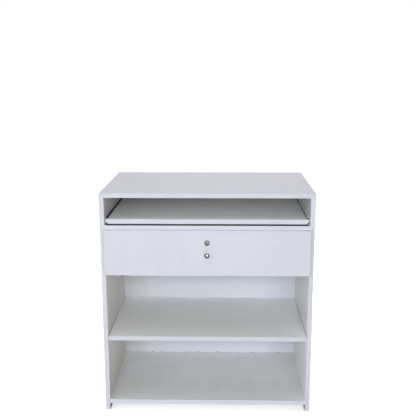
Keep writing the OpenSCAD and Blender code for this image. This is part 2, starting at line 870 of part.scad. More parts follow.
module lock_nut() {
    color(zinc) lock_frame() translate([0, 0, board]) difference() {
        cylinder(h = nut_t, r = nut_r, $fn = 6);
        translate([0, 0, -cut]) cylinder(h = nut_t + 2 * cut, r = barrel_r + fit);
    }
}

// Plug with its key slot, and a square tail that drives the cam
module lock_plug() {
    tail = cam_gap + lock_cam_t;
    color(steel) lock_frame() difference() {
        union() {
            translate([0, 0, -flange_t + plug_recess])
                cylinder(h = flange_t - plug_recess + barrel_len, r = plug_r);
            translate([-square_w / 2, -square_w / 2, barrel_len]) cube([square_w, square_w, tail]);
        }
        translate([-key_w / 2, -key_h / 2, -flange_t - cut]) cube([key_w, key_h, key_d]);
        translate([0, 0, barrel_len + tail - cam_screw_in - fit])
            cylinder(h = cam_screw_in + fit + cut, r = screw_r + fit);
    }
}

// Cam that points left when the drawer is free, and up behind the strike when it is locked
module lock_cam() {
    color(zinc) lock_frame() translate([0, 0, barrel_len + cam_gap]) difference() {
        union() {
            cylinder(h = lock_cam_t, r = lock_cam_hub_r);
            translate([-cam_reach + lock_cam_w / 2, -lock_cam_w / 2, 0])
                cube([cam_reach - lock_cam_w / 2, lock_cam_w, lock_cam_t]);
            translate([-cam_reach + lock_cam_w / 2, 0, 0]) cylinder(h = lock_cam_t, r = lock_cam_w / 2);
        }
        translate([-square_w / 2 - fit, -square_w / 2 - fit, -cut])
            cube([square_w + 2 * fit, square_w + 2 * fit, lock_cam_t + 2 * cut]);
    }
}

module lock_cam_screw() {
    color(steel) lock_frame() translate([0, 0, barrel_len + cam_gap + lock_cam_t]) {
        difference() {
            cylinder(h = cam_screw_head_h, r1 = cam_screw_head_r, r2 = cam_screw_head_r - screw_head_slope);
            translate([0, 0, cam_screw_head_h]) mirror([0, 0, 1]) driver_recess();
        }
        translate([0, 0, -cam_screw_in]) cylinder(h = cam_screw_in, r = screw_r);
    }
}

// Steel angle screwed under the divider, which the locked cam bears against
module strike_frame() translate([0, strike_y, divider_z]) children();
module strike_screw_places() {
    for (x = [-strike_screw_x, strike_screw_x]) translate([x, strike_screw_y, 0]) children();
}
module lock_strike() {
    color(zinc) strike_frame() difference() {
        union() {
            translate([-strike_w / 2, 0, -strike_t]) cube([strike_w, strike_depth, strike_t]);
            translate([-strike_w / 2, 0, -strike_drop]) cube([strike_w, strike_t, strike_drop]);
        }
        strike_screw_places() translate([0, 0, -strike_t - cut])
            cylinder(h = strike_t + 2 * cut, r = screw_r + fit);
    }
}

// Knob: a foot, a waist and a domed head, bored for its screw
module knob() {
    dome_h = knob_head_t - knob_rim_t;
    dome_r = (pow(knob_r, 2) + pow(dome_h, 2)) / (2 * dome_h);
    color("gainsboro") knob_frame() difference() {
        rotate_extrude() {
            square([knob_foot_r, knob_foot_t]);
            square([knob_waist_r, knob_len - knob_head_t]);
            translate([0, knob_len - knob_head_t]) square([knob_r, knob_rim_t]);
            intersection() {
                translate([0, knob_len - dome_r]) circle(dome_r);
                translate([0, knob_len - dome_h]) square([knob_r, dome_h]);
            }
        }
        translate([0, 0, -cut]) cylinder(h = knob_thread + cut + fit, r = knob_screw_r + fit);
    }
}
module knob_screw() {
    r = knob_screw_head_r;
    reach = box_board + board + knob_thread;
    color(steel) translate([0, box_y + box_board, knob_z]) face_y(-1) {
        difference() {
            translate([0, 0, -knob_screw_head_h])
                cylinder(h = knob_screw_head_h, r1 = r - screw_head_slope, r2 = r);
            translate([0, 0, -knob_screw_head_h]) driver_recess();
        }
        cylinder(h = reach, r = knob_screw_r);
    }
}

top_panel();
left_side();
right_side();
back_panel();
divider_shelf();
middle_shelf();
bottom_shelf();
top_edging();
side_edging();
shelf_edging();
panel_dowels();
joint_cams();
joint_bolts();
cam_caps();
shelf_pins();
carcass_screws();
slide_bumpers();
lock_strike();
tray_slide_left_outer();
tray_slide_right_outer();
drawer_slide_left_outer();
drawer_slide_right_outer();
tray_board();
tray_edging();
tray_slide_left_inner();
tray_slide_right_inner();
tray_screws();
tray_slide_levers();
tray_slide_left_middle();
tray_slide_right_middle();
tray_outer_cages();
tray_outer_balls();
tray_inner_cages();
tray_inner_balls();
drawer_front();
drawer_front_edging();
drawer_box_left();
drawer_box_right();
drawer_box_front();
drawer_box_back();
drawer_bottom();
drawer_box_screws();
drawer_slide_left_inner();
drawer_slide_right_inner();
drawer_screws();
drawer_slide_levers();
drawer_slide_left_middle();
drawer_slide_right_middle();
drawer_outer_cages();
drawer_outer_balls();
drawer_inner_cages();
drawer_inner_balls();
knob();
knob_screw();
lock_housing();
lock_nut();
lock_plug();
lock_cam();
lock_cam_screw();
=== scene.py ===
from functools import partial
from math import cos, pi, radians, sin

import bpy
from mathutils import Matrix, Vector


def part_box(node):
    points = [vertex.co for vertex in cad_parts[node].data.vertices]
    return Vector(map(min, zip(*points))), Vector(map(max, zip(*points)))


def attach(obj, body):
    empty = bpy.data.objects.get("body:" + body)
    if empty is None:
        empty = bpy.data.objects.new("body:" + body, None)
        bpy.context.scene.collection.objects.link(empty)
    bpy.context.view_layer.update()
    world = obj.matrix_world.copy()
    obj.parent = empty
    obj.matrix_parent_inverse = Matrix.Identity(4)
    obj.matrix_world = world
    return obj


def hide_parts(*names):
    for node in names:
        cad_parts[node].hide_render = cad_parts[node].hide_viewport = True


bl_info = {
    "name": "Shop counter",
    "version": (1, 0, 0),
    "blender": (4, 5, 0),
    "location": "3D View > Sidebar > Counter",
    "description": "Finishes, small fittings and studio for a shop counter with a pull-out shelf and a drawer",
    "category": "Object",
}

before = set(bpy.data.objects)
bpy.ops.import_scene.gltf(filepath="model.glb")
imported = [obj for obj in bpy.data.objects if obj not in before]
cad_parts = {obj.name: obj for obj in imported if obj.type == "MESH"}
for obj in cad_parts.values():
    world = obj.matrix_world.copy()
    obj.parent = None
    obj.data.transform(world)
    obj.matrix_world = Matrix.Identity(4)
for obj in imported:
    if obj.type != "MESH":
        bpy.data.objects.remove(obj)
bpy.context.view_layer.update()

MM = 0.001
SMOOTH_UP_TO = radians(35)
CARRIERS = ("tray", "drawer")
DRAWER_BOX = [f"drawer_box_{side}" for side in ("left", "right", "front", "back")]
EDGING = ["side_edging", "tray_edging", "drawer_front_edging"]
SCREWS = [
    "carcass_screws", "tray_screws", "drawer_box_screws", "drawer_screws",
    "knob_screw", "lock_cam_screw", "shelf_pins",
]
DIE_CASTINGS = ["joint_cams", "joint_bolts", "lock_strike", "lock_nut", "lock_cam"]
CAGES = [f"{carrier}_{row}_cages" for carrier in CARRIERS for row in ("outer", "inner")]
BALLS = [f"{carrier}_{row}_balls" for carrier in CARRIERS for row in ("outer", "inner")]
DARK_MOULDINGS = ["slide_bumpers", "tray_slide_levers", "drawer_slide_levers"]

# The faces of the hardware that the new pieces are set on, taken from the packed solids.
KNOB_LOW, KNOB_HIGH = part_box("knob")
HOUSING_LOW, HOUSING_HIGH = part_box("lock_housing")
PLUG_LOW, PLUG_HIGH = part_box("lock_plug")
FRONT_FACE_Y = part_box("drawer_front")[0].y
LOCK_Z = (HOUSING_LOW.z + HOUSING_HIGH.z) / 2


def screen(*picked):
    """A colour picked on screen, 0 to 255, as the linear values that materials take."""
    parts = [part / 255 for part in picked]
    return tuple(part / 12.92 if part <= 0.04045 else ((part + 0.055) / 1.055) ** 2.4 for part in parts)


DUST = screen(204, 204, 202)
DUST_ON_HARDBOARD = screen(200, 197, 190)
RUBBED_WHITE = screen(228, 228, 230)
SPECK = screen(150, 146, 138)
KNOCK = screen(176, 174, 172)


def colour(label, text, *picked):
    return bpy.props.FloatVectorProperty(
        name=label, description=text, default=screen(*picked), size=3, min=0, max=1, subtype="COLOR"
    )


def number(label, text, default, **settings):
    return bpy.props.FloatProperty(name=label, description=text, default=default, **settings)


length = partial(number, min=0, precision=4, subtype="DISTANCE", unit="LENGTH")
share = partial(number, min=0, max=1, subtype="FACTOR")
power = partial(number, min=0, unit="POWER")
angle = partial(number, subtype="ANGLE", unit="ROTATION")


class CounterFinish(bpy.types.PropertyGroup):
    """Colours of the boards, the edging and the hardware."""

    # The worktop, outside, inside, shelf and back colours are all one white melamine, given lighter and darker
    # colours by face and part: painted light and shade.
    worktop: colour("Worktop", "Melamine of the worktop", 207, 207, 218)
    outside: colour("Outside boards", "Melamine of the drawer front and outside the sides", 208, 210, 220)
    inside: colour("Inside faces", "Melamine of the sides, seen from inside", 236, 237, 236)
    shelf: colour("Shelves", "Melamine of the shelves and of the drawer box", 243, 245, 246)
    back: colour("Back board", "Melamine of the back panel", 228, 234, 244)
    edging: colour("Edging", "Plastic strip on the boards' edges", 209, 211, 220)
    chipboard: colour("Chipboard", "Core that shows where the face has chipped", 132, 108, 80)
    hardboard: colour("Hardboard", "Sealed underside of the drawer's bottom", 208, 203, 193)
    beech: colour("Beech", "Turned dowels", 204, 168, 124)
    plating: colour("Bright plating", "Knob", 204, 205, 206)
    housing: colour("Housing plating", "Lock housing with its flange", 128, 128, 122)
    plug: colour("Plug plating", "Turning part of the lock", 234, 235, 233)
    zinc: colour("Zinc plated sheet", "Members of the slides", 214, 218, 222)
    # The grease colour also paints shade on the lock and in the slides' gaps.
    grease: colour("Grease", "Old grease on the slides, and dirt on the lock", 58, 57, 52)
    casting: colour("Zinc casting", "Joint cams, bolts, strike, lock nut and lock cam", 168, 170, 172)
    steel: colour("Bright steel", "Screws, pins and balls", 190, 192, 194)
    dark: colour("Dark plastic", "Bumpers and levers of the slides", 46, 47, 50)
    guide: colour("Pale plastic", "Guides and stops at the front of the slides", 234, 238, 238)
    wear: share("Wear", "How much the edges and faces show use", 0.5)


class CounterHardware(bpy.types.PropertyGroup):
    """Sizes of the turned and moulded pieces."""

    knob_radius: length("Knob radius", "Largest radius of the knob", KNOB_HIGH.x)
    knob_length: length("Knob length", "From the drawer front to the knob's tip", KNOB_HIGH.y - KNOB_LOW.y)
    flange_radius: length("Flange radius", "Lock flange on the drawer front", HOUSING_HIGH.x)
    plug_radius: length("Plug radius", "Turning face of the lock", PLUG_HIGH.x)
    key_width: length("Key slot width", "Across the key slot", 2.2 * MM)
    key_height: length("Key slot height", "Along the key slot", 8.6 * MM)
    guide_length: length("Guide length", "Plastic guide at the front of a slide's middle member", 13 * MM)
    guide_height: length("Guide height", "Upright height of that guide", 14 * MM)
    stop_length: length("Stop length", "Plastic stop at the front of a slide's inner member", 9 * MM)
    stop_height: length("Stop height", "Upright height of that stop", 16 * MM)


class CounterStudio(bpy.types.PropertyGroup):
    """Camera, lamps and floor."""

    place: bpy.props.FloatVectorProperty(
        name="Camera place", description="Where the camera stands", default=(0.0621845, -2.9140418, 1.3761318),
        size=3, subtype="TRANSLATION", unit="LENGTH",
    )
    pitch: angle("Downward tilt", "How far the camera looks down", 0.2256)
    yaw: angle("Turn to the left", "How far the camera turns to the left", 0.022)
    roll: angle("Roll", "Lean of the camera", 0.0013)
    lens: number("Lens", "Focal length on a 36 mm frame", 61.315, min=1, unit="CAMERA")
    rise: share("Lens rise", "Upward shift of the frame, as a share of its width", 0.0481)
    floor: colour("Floor", "Pale floor", 236, 236, 238)
    front_power: power("Front lamp", "Wide soft lamp in front, as high as the camera", 67)
    key_power: power("Key lamp", "Soft lamp at the front left", 10)
    top_power: power("Top lamp", "Soft lamp overhead", 27)
    side_power: power("Side lamps", "Soft lamps beside the two ends", 30)
    rear_power: power("Rear lamp", "Soft lamp behind the counter", 60)
    room: share("Room light", "Even light from all around", 0.05)


# Material tools


class Nodes:
    """A shader node tree that is built from nothing. Every method but put returns sockets."""

    def __init__(self, tree):
        self.tree = tree
        tree.nodes.clear()

    def put(self, kind, inputs=(), **settings):
        """Adds a node, sets it, and links or fills its inputs."""
        made = self.tree.nodes.new(kind)
        row, column = divmod(len(self.tree.nodes) - 1, 9)
        made.location = (190 * column, -280 * row)
        for key, value in settings.items():
            setattr(made, key, value)
        for key, value in dict(inputs).items():
            if isinstance(value, bpy.types.NodeSocket):
                self.tree.links.new(value, made.inputs[key])
            else:
                made.inputs[key].default_value = value
        return made

    def calc(self, operation, *values, clamp=False):
        return self.put("ShaderNodeMath", dict(enumerate(values)), operation=operation, use_clamp=clamp).outputs[0]

    def times(self, value, *factors, clamp=False):
        """A product, kept between 0 and 1 if asked."""
        for factor in factors[:-1]:
            value = self.calc("MULTIPLY", value, factor)
        return self.calc("MULTIPLY", value, factors[-1], clamp=clamp)

    def added(self, value, factor, base, clamp=False):
        """A base with a value times a factor on top."""
        return self.calc("MULTIPLY_ADD", value, factor, base, clamp=clamp)

    def vector(self, operation, *values):
        return self.put("ShaderNodeVectorMath", dict(enumerate(values)), operation=operation).outputs[0]

    def far(self, vector):
        """The length of a vector."""
        return self.put("ShaderNodeVectorMath", {0: vector}, operation="LENGTH").outputs["Value"]

    def split(self, vector):
        """The three parts of a vector."""
        return self.put("ShaderNodeSeparateXYZ", {0: vector}).outputs

    def ramp(self, value, low, high, floor=0, ceiling=1):
        """Moves a value smoothly from floor to ceiling as it goes from low to high."""
        inputs = dict(enumerate((value, low, high, floor, ceiling)))
        return self.put("ShaderNodeMapRange", inputs, interpolation_type="SMOOTHSTEP").outputs[0]

    def fade(self, value, full, gone):
        """1 where a value is at or before full, and 0 where it has gone."""
        return self.ramp(value, full, gone, 1, 0)

    def noise(self, vector, scale, detail=4, roughness=0.6, stretch=None):
        """Cloudy noise, squeezed by a different amount along each axis if asked."""
        vector = self.vector("MULTIPLY", vector, stretch) if stretch else vector
        inputs = {"Vector": vector, "Scale": scale, "Detail": detail, "Roughness": roughness}
        return self.put("ShaderNodeTexNoise", inputs).outputs[0]

    def cells(self, vector, scale):
        """Scattered cells: a tone of each one's own, and the distance from its middle."""
        made = self.put("ShaderNodeTexVoronoi", {"Vector": vector, "Scale": scale}).outputs
        return self.put("ShaderNodeSeparateColor", {0: made["Color"]}).outputs[0], made["Distance"]

    def blend(self, amount, first, second, mode="MIX"):
        """A colour between two, or the second laid over the first."""
        first, second = (
            side if isinstance(side, bpy.types.NodeSocket) else (*side, 1) for side in (first, second)
        )
        inputs = {0: amount, 6: first, 7: second}
        return self.put("ShaderNodeMix", inputs, data_type="RGBA", blend_type=mode).outputs[2]

    def dimmed(self, mask, tone, left):
        """A tone that keeps only a share of its light, or a share of each colour, where the mask is full."""
        return self.blend(mask, tone, left if isinstance(left, tuple) else (left,) * 3, "MULTIPLY")


def board_face(net, given):
    """Pebbled melamine: cloudy tone, fine pebble, wiping marks and a few specks."""
    vector, pebble, cloudy = given["Vector"], given["Pebble"], given["Cloud"]
    fine = net.noise(vector, pebble, 2, 0.5)
    coarse = net.noise(vector, net.times(pebble, 0.31), 1, 0.5)
    cloud = net.noise(vector, cloudy, 4, 0.62)
    drift = net.noise(vector, net.times(cloudy, 6.3), 3)
    wiped = net.noise(vector, 1.6, stretch=(3, 26, 26))
    crossed = net.noise(vector, 1.3, 3, stretch=(24, 4, 5))
    rare, away = net.cells(vector, given["Specks"])
    dot = net.fade(away, 0.035, 0.09)
    return {
        "Tone": net.ramp(net.added(drift, 0.35, net.times(cloud, 0.65)), 0.3, 0.7),
        "Height": net.added(coarse, 0.45, net.times(fine, 0.55)),
        "Smears": net.ramp(net.times(wiped, crossed), 0.16, 0.4),
        "Speck mask": net.times(dot, net.calc("GREATER_THAN", rare, 0.93)),
    }


def arris_wear(net, given):
    """Rubbed arrises of one board, found from the board's middle and half sizes."""
    vector, width = given["Vector"], given["Width"]
    offset = net.vector("ABSOLUTE", net.vector("SUBTRACT", vector, given["Middle"]))
    depth = net.split(net.vector("SUBTRACT", given["Half size"], offset))
    lower = net.calc("MINIMUM", depth[0], depth[1])
    upper = net.calc("MAXIMUM", depth[0], depth[1])
    second = net.calc("MAXIMUM", lower, net.calc("MINIMUM", upper, depth[2]))
    ragged = net.noise(vector, 150, 4, 0.65)
    reach = net.times(width, net.added(ragged, 2, -0.3))
    near = net.calc("DIVIDE", second, net.calc("MAXIMUM", reach, 0.05 * MM))
    rubbed = net.fade(near, 0.35, 1)
    wide = net.fade(second, 0, net.times(width, 22))
    patchy = net.ramp(net.noise(vector, 11, 3), 0.35, 0.7)
    return {
        "Mask": net.times(rubbed, given["Amount"], clamp=True),
        "Grime and painted shade": net.times(wide, patchy, given["Amount"], clamp=True),
    }


def turned_edge_wear(net, given):
    """Wear where a surface turns from one face to the next, found from its normal."""
    parts = net.split(net.vector("ABSOLUTE", given["Normal"]))
    flatness = net.calc("MAXIMUM", net.calc("MAXIMUM", parts[0], parts[1]), parts[2])
    turning = net.fade(flatness, 0.72, 0.985)
    ragged = net.ramp(net.noise(given["Vector"], given["Scale"]), 0.36, 0.62)
    return {"Mask": net.times(turning, ragged, given["Amount"], clamp=True)}


def settled_dust(net, given):
    """Thin dust that lies on faces that look up, thicker in patches."""
    up = net.ramp(net.split(given["Normal"])[2], 0.5, 0.95)
    patches = net.ramp(net.noise(given["Vector"], 9, 5, 0.65), 0.35, 0.75)
    motes = net.ramp(net.noise(given["Vector"], 480, 2, 0.5), 0.45, 0.7)
    thick = net.added(motes, 0.4, net.times(patches, 0.6))
    return {"Mask": net.times(up, thick, given["Amount"], clamp=True)}


def metal_skin(net, given):
    """Metal surface: mottled tone, streaks along the working direction and fine pits."""
    vector, grain, mottle = given["Vector"], given["Grain"], given["Mottle"]
    drawn = net.noise(vector, grain, stretch=given["Stretch"])
    shade, _ = net.cells(vector, mottle)
    soft = net.noise(vector, net.times(mottle, 0.4))
    pits = net.noise(vector, net.times(grain, 3.5), 2, 0.5)
    return {
        "Tone": net.added(shade, 0.4, net.times(soft, 0.6)),
        "Streaks": net.ramp(drawn, 0.35, 0.68),
        "Height": net.added(pits, 0.4, net.times(drawn, 0.6)),
    }


def moulded_skin(net, given):
    """Moulded plastic: faint flow tone and spark-eroded grain."""
    return {
        "Tone": net.ramp(net.noise(given["Vector"], given["Flow"], 3, 0.55), 0.3, 0.7),
        "Height": net.noise(given["Vector"], given["Grain"], 2, 0.5),
    }


# Each shared effect's builder, and its inputs beside Vector. Scales of noise and cells are in waves per metre.
EFFECTS = {
    "Board face": (board_face, {"Pebble": 620.0, "Cloud": 5.0, "Specks": 90.0}),
    "Arris wear": (arris_wear, {"Middle": (0, 0, 0), "Half size": (1, 1, 1), "Width": 0.002, "Amount": 0.5}),
    "Turned edge wear": (turned_edge_wear, {"Normal": None, "Scale": 80.0, "Amount": 0.5}),
    "Settled dust": (settled_dust, {"Normal": None, "Amount": 0.3}),
    "Metal skin": (metal_skin, {"Stretch": (1, 1, 1), "Grain": 400.0, "Mottle": 140.0}),
    "Moulded skin": (moulded_skin, {"Grain": 1500.0, "Flow": 60.0}),
}


def make_effect(name):
    """Builds a shared effect as a node group, with a socket for each input and each result."""
    build, inputs = EFFECTS[name]
    group = bpy.data.node_groups.new(name, "ShaderNodeTree")
    for label, value in {"Vector": None, **inputs}.items():
        kind = "NodeSocketFloat" if isinstance(value, float) else "NodeSocketVector"
        socket = group.interface.new_socket(name=label, in_out="INPUT", socket_type=kind)
        if value is not None:
            socket.default_value = value
    net = Nodes(group)
    results = build(net, net.put("NodeGroupInput").outputs)
    for label in results:
        group.interface.new_socket(name=label, in_out="OUTPUT", socket_type="NodeSocketFloat")
    net.put("NodeGroupOutput", results)
    return group


class Material(Nodes):
    """A material that is being built, and what its Principled shader is set to."""

    def __init__(self, name, settings=None):
        self.made = bpy.data.materials.new(name)
        self.made.use_nodes = True
        super().__init__(self.made.node_tree)
        coordinates = self.put("ShaderNodeTexCoord").outputs
        self.place, self.normal = coordinates["Object"], coordinates["Normal"]
        self.settings = settings

    def effect(self, name, **inputs):
        """Puts a shared effect in the material, with the material's own values."""
        group = bpy.data.node_groups.get(name) or make_effect(name)
        given = {"Vector": self.place, **{key.replace("_", " "): value for key, value in inputs.items()}}
        if "Normal" in EFFECTS[name][1]:
            given["Normal"] = self.normal
        return self.put("ShaderNodeGroup", given, node_tree=group).outputs

    def beyond(self, axis, side, low, high):
        """How far a point lies from the middle of a box along an axis, towards side 1 or -1."""
        return self.times(self.calc("SUBTRACT", self.split(self.place)[axis], (low[axis] + high[axis]) / 2), side)

    def strip(self, low, high, axis, side, along, first, last):
        """Mask of a strip on a board's face, in front of the back panel. It fades from first to last."""
        skin = self.calc("GREATER_THAN", self.beyond(axis, side, low, high), (high[axis] - low[axis]) / 2 - 0.5 * MM)
        parts = self.split(self.place)
        indoors = self.calc("LESS_THAN", parts[1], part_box("back_panel")[1].y - 1 * MM)
        return self.times(skin, indoors, self.fade(parts[along], first, last))

    def finished(self, tone, rough, height, depth):
        """The material with its colour, roughness and relief, depth in metres."""
        relief = self.put("ShaderNodeBump", {"Height": height, "Distance": depth})
        surface = {**self.settings, "Base Color": tone, "Roughness": rough, "Normal": relief.outputs[0]}
        shader = self.put("ShaderNodeBsdfPrincipled", surface)
        self.put("ShaderNodeOutputMaterial", {"Surface": shader.outputs[0]})
        return self.made


def toned(shade, amount):
    """A colour with more or less light."""
    return tuple(part * amount for part in shade)


def dress(material, names):
    """Gives CAD nodes a material."""
    for name in names:
        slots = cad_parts[name].material_slots
        if not slots:
            raise RuntimeError(f"{name} has no material slot")
        for slot in slots:
            slot.material = material


def dress_board(node, shade, wear, grime_and_shade=0.5, dusty=0.35, gloss=0.46, other=None, chipboard=None, painted_shade_strips=()):
    """White melamine, with the rubbed arrises and handling of this one board. Other is an axis, a side and the
    colour of the face there. Each strip of dirt is what Material.strip takes and how much light is left."""
    made = Material("Melamine " + node, {"Specular IOR Level": 0.42, "IOR": 1.5})
    low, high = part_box(node)
    face = made.effect("Board face")
    edge = made.effect("Arris wear", Middle=(low + high) / 2, Half_size=(high - low) / 2, Width=1.2 * MM, Amount=wear)
    dust = made.effect("Settled dust", Amount=dusty * wear)["Mask"]
    tone = shade
    # The face on that side gets a lighter or darker colour: painted light and shade.
    if other:
        axis, side, second = other
        tone = made.blend(made.calc("GREATER_THAN", made.beyond(axis, side, low, high), 0), shade, second)
    tone = made.dimmed(made.calc("SUBTRACT", 1, face["Tone"]), tone, 0.965)
    tone = made.dimmed(made.times(face["Smears"], 0.35), tone, 0.94)
    # Darker near the arrises: partly grime, partly painted shade in the corners.
    tone = made.dimmed(made.times(edge["Grime and painted shade"], grime_and_shade), tone, 0.86)
    tone = made.blend(made.times(edge["Mask"], 0.3), tone, RUBBED_WHITE)
    tone = made.blend(made.times(face["Speck mask"], 0.2), tone, SPECK)
    tone = made.blend(dust, tone, DUST)
    for *strip, left in painted_shade_strips:
        tone = made.dimmed(made.strip(low, high, *strip), tone, left)
    height = face["Height"]
    rough = made.added(edge["Mask"], -0.12, made.added(face["Smears"], -0.05, gloss))
    rough = made.added(dust, 0.5, rough, clamp=True)
    if chipboard:
        tone, height, rough = chip_foot(made, tone, height, rough, low, chipboard)
    dress(made.finished(tone, rough, height, 0.03 * MM), [node])


def chip_foot(made, tone, height, rough, low, chipboard):
    """Chipped lower edge of a board: bare chipboard, ragged upwards, deeper than the face."""
    _, y, z = made.split(made.place)
    rise = made.calc("SUBTRACT", z, low.z)
    ragged = made.noise(made.place, 260, 5, 0.7, stretch=(1, 1, 1.6))
    runs = made.noise(made.place, 42, 4, 0.7, stretch=(1, 0, 0))
    in_front = made.calc("LESS_THAN", y, low.y + 1 * MM)
    reach = made.times(made.ramp(runs, 0.46, 0.62), made.ramp(ragged, 0.36, 0.7, 0.4 * MM, 5.8 * MM), in_front)
    bare = made.ramp(made.calc("SUBTRACT", reach, rise), 0, 0.4 * MM)
    grain = made.noise(made.place, 900, 4, 0.7)
    rim = made.times(made.ramp(made.calc("SUBTRACT", reach, rise), -1.2 * MM, 0), 0.35)
    tone = made.blend(rim, tone, toned(chipboard, 1.25))
    tone = made.blend(bare, tone, made.blend(grain, toned(chipboard, 0.45), chipboard))
    height = made.added(made.times(bare, grain), 3.2, made.added(bare, -5, height))
    return tone, height, made.added(bare, 0.4, rough, clamp=True)


def edging_material(name, shade, wear, painted_light_outside=None):
    """Plastic edging strip: extruded tone along its length, rubbed and slightly grubby arrises. Strips that
    aren't between the two heights given are lighter."""
    made = Material(name, {"Specular IOR Level": 0.45, "IOR": 1.48})
    skin = made.effect("Moulded skin", Grain=1100, Flow=18)
    edge = made.effect("Turned edge wear", Scale=320, Amount=wear)
    dust = made.effect("Settled dust", Amount=0.3 * wear)
    knocks = made.ramp(made.noise(made.place, 90, 5, 0.7), 0.62, 0.74)
    # Strips at other heights are painted lighter: painted light.
    if painted_light_outside:
        low, high = painted_light_outside
        z = made.split(made.place)[2]
        beyond = made.calc("MAXIMUM", made.calc("LESS_THAN", z, low), made.calc("GREATER_THAN", z, high))
        shade = made.blend(beyond, shade, toned(shade, 1.1))
    tone = made.dimmed(made.calc("SUBTRACT", 1, skin["Tone"]), shade, 0.972)
    tone = made.dimmed(made.times(edge["Mask"], 0.4), tone, 0.86)
    tone = made.blend(made.times(knocks, 0.12 * wear), tone, KNOCK)
    tone = made.blend(dust["Mask"], tone, DUST)
    rough = made.added(edge["Mask"], 0.2, made.added(skin["Tone"], 0.08, 0.36), clamp=True)
    return made.finished(tone, rough, skin["Height"], 0.04 * MM)


def hardboard_material(name, shade, bare):
    """Hardboard lacquered white on top and bare, with its mesh mark, underneath."""
    made = Material(name, {"Specular IOR Level": 0.4})
    face = made.effect("Board face", Pebble=420, Cloud=7)
    dust = made.effect("Settled dust", Amount=0.3)
    under = made.fade(made.split(made.normal)[2], -0.6, -0.3)
    mesh = made.put("ShaderNodeTexWave", {"Vector": made.place, "Scale": 160, "Distortion": 1.5}).outputs["Fac"]
    fibre = made.noise(made.place, 700, 4, 0.7)
    lacquer = made.blend(face["Tone"], toned(shade, 0.96), shade)
    lacquer = made.blend(dust["Mask"], lacquer, DUST_ON_HARDBOARD)
    tone = made.blend(under, lacquer, made.blend(fibre, toned(bare, 0.6), bare))
    height = made.calc("ADD", made.times(mesh, under, 2), face["Height"])
    return made.finished(tone, made.added(under, 0.35, 0.42), height, 0.06 * MM)


def beech_material(name, shade):
    """Turned beech with short rays and flutes along the dowel."""
    made = Material(name, {"Specular IOR Level": 0.3})
    rays = made.noise(made.place, 1, stretch=(260, 260, 900))
    flecks = made.ramp(made.noise(made.place, 3, 2, 0.5, stretch=(500, 120, 120)), 0.55, 0.7)
    tone = made.blend(rays, toned(shade, 0.72), shade)
    tone = made.blend(made.times(flecks, 0.4), tone, toned(shade, 0.55))
    return made.finished(tone, made.added(rays, 0.2, 0.5), rays, 0.1 * MM)


def metal_material(name, shade, rough, grain, mottle, stretch=(1, 1, 1), depth=0.02 * MM,
                   contrast=0.78, metallic=1, painted_flank_shade=0, grime_and_painted_shade=None):
    """Plated or cast metal: mottled tone, drawn streaks, brighter rubbed turns, tarnish off the front, and dirt.
    Soiled gives the dirt's weights along the axes, the height of its line along Y, the distances from that line
    where it starts and is full, and its colour."""
    made = Material(name, {"Metallic": metallic})
    skin = made.effect("Metal skin", Stretch=stretch, Grain=grain, Mottle=mottle)
    edge = made.effect("Turned edge wear", Scale=260, Amount=0.5)["Mask"]
    tone = made.blend(skin["Tone"], toned(shade, contrast), shade)
    tone = made.blend(made.times(skin["Streaks"], 0.3), tone, toned(shade, contrast * 0.9))
    tone = made.blend(made.times(edge, 0.6), tone, tuple(min(1, part) for part in toned(shade, 1.18)))
    # Flanks that turn away from the front are painted darker: painted shade.
    if painted_flank_shade:
        flank = made.ramp(made.calc("ABSOLUTE", made.split(made.normal)[1]), 0.6, 0.97, painted_flank_shade, 0)
        tone = made.dimmed(flank, tone, 0.1)
    # A dark patch: grease on the slides, and painted shade in the slides' gaps and on the lock.
    if grime_and_painted_shade:
        weights, line_z, clean, full, dirt_and_painted_shade = grime_and_painted_shade
        away = made.vector("MULTIPLY", made.vector("SUBTRACT", made.place, (0, 0, line_z)), weights)
        uneven = made.added(skin["Streaks"], 0.6 * MM, made.far(away))
        tone = made.blend(made.ramp(uneven, clean, full), tone, dirt_and_painted_shade)
    rough = made.added(skin["Tone"], 0.08, made.added(skin["Streaks"], 0.16, rough - 0.06))
    return made.finished(tone, made.added(edge, -0.1, rough, clamp=True), skin["Height"], depth)


def plastic_material(name, shade, rough, wear=0.4):
    """Moulded plastic with a fine grain and paler rubbed turns."""
    made = Material(name, {"Specular IOR Level": 0.45})
    skin = made.effect("Moulded skin")
    edge = made.effect("Turned edge wear", Scale=240, Amount=wear)
    pale = tuple(part + (0.55 - part) * 0.35 for part in shade)
    tone = made.blend(skin["Tone"], toned(shade, 0.86), shade)
    tone = made.blend(made.times(edge["Mask"], 0.7), tone, pale)
    return made.finished(tone, made.added(skin["Tone"], 0.12, rough, clamp=True), skin["Height"], 0.05 * MM)


# Modelling tools


def leave_edit():
    bpy.ops.object.mode_set(mode="OBJECT")


def start(*pieces):
    """Leaves edit mode and selects these pieces alone, the last of them active."""
    if bpy.context.object and bpy.context.object.mode != "OBJECT":
        leave_edit()
    bpy.ops.object.select_all(action="DESELECT")
    for piece in pieces:
        piece.select_set(True)
        bpy.context.view_layer.objects.active = piece


def apply_place():
    """Puts the active object's origin at the origin of the scene, unturned and unscaled."""
    bpy.ops.object.transform_apply(location=True, rotation=True, scale=True)


def push(x, y, z):
    """Extrudes what is selected and moves it."""
    bpy.ops.mesh.extrude_region_move(TRANSFORM_OT_translate={"value": (x, y, z)})


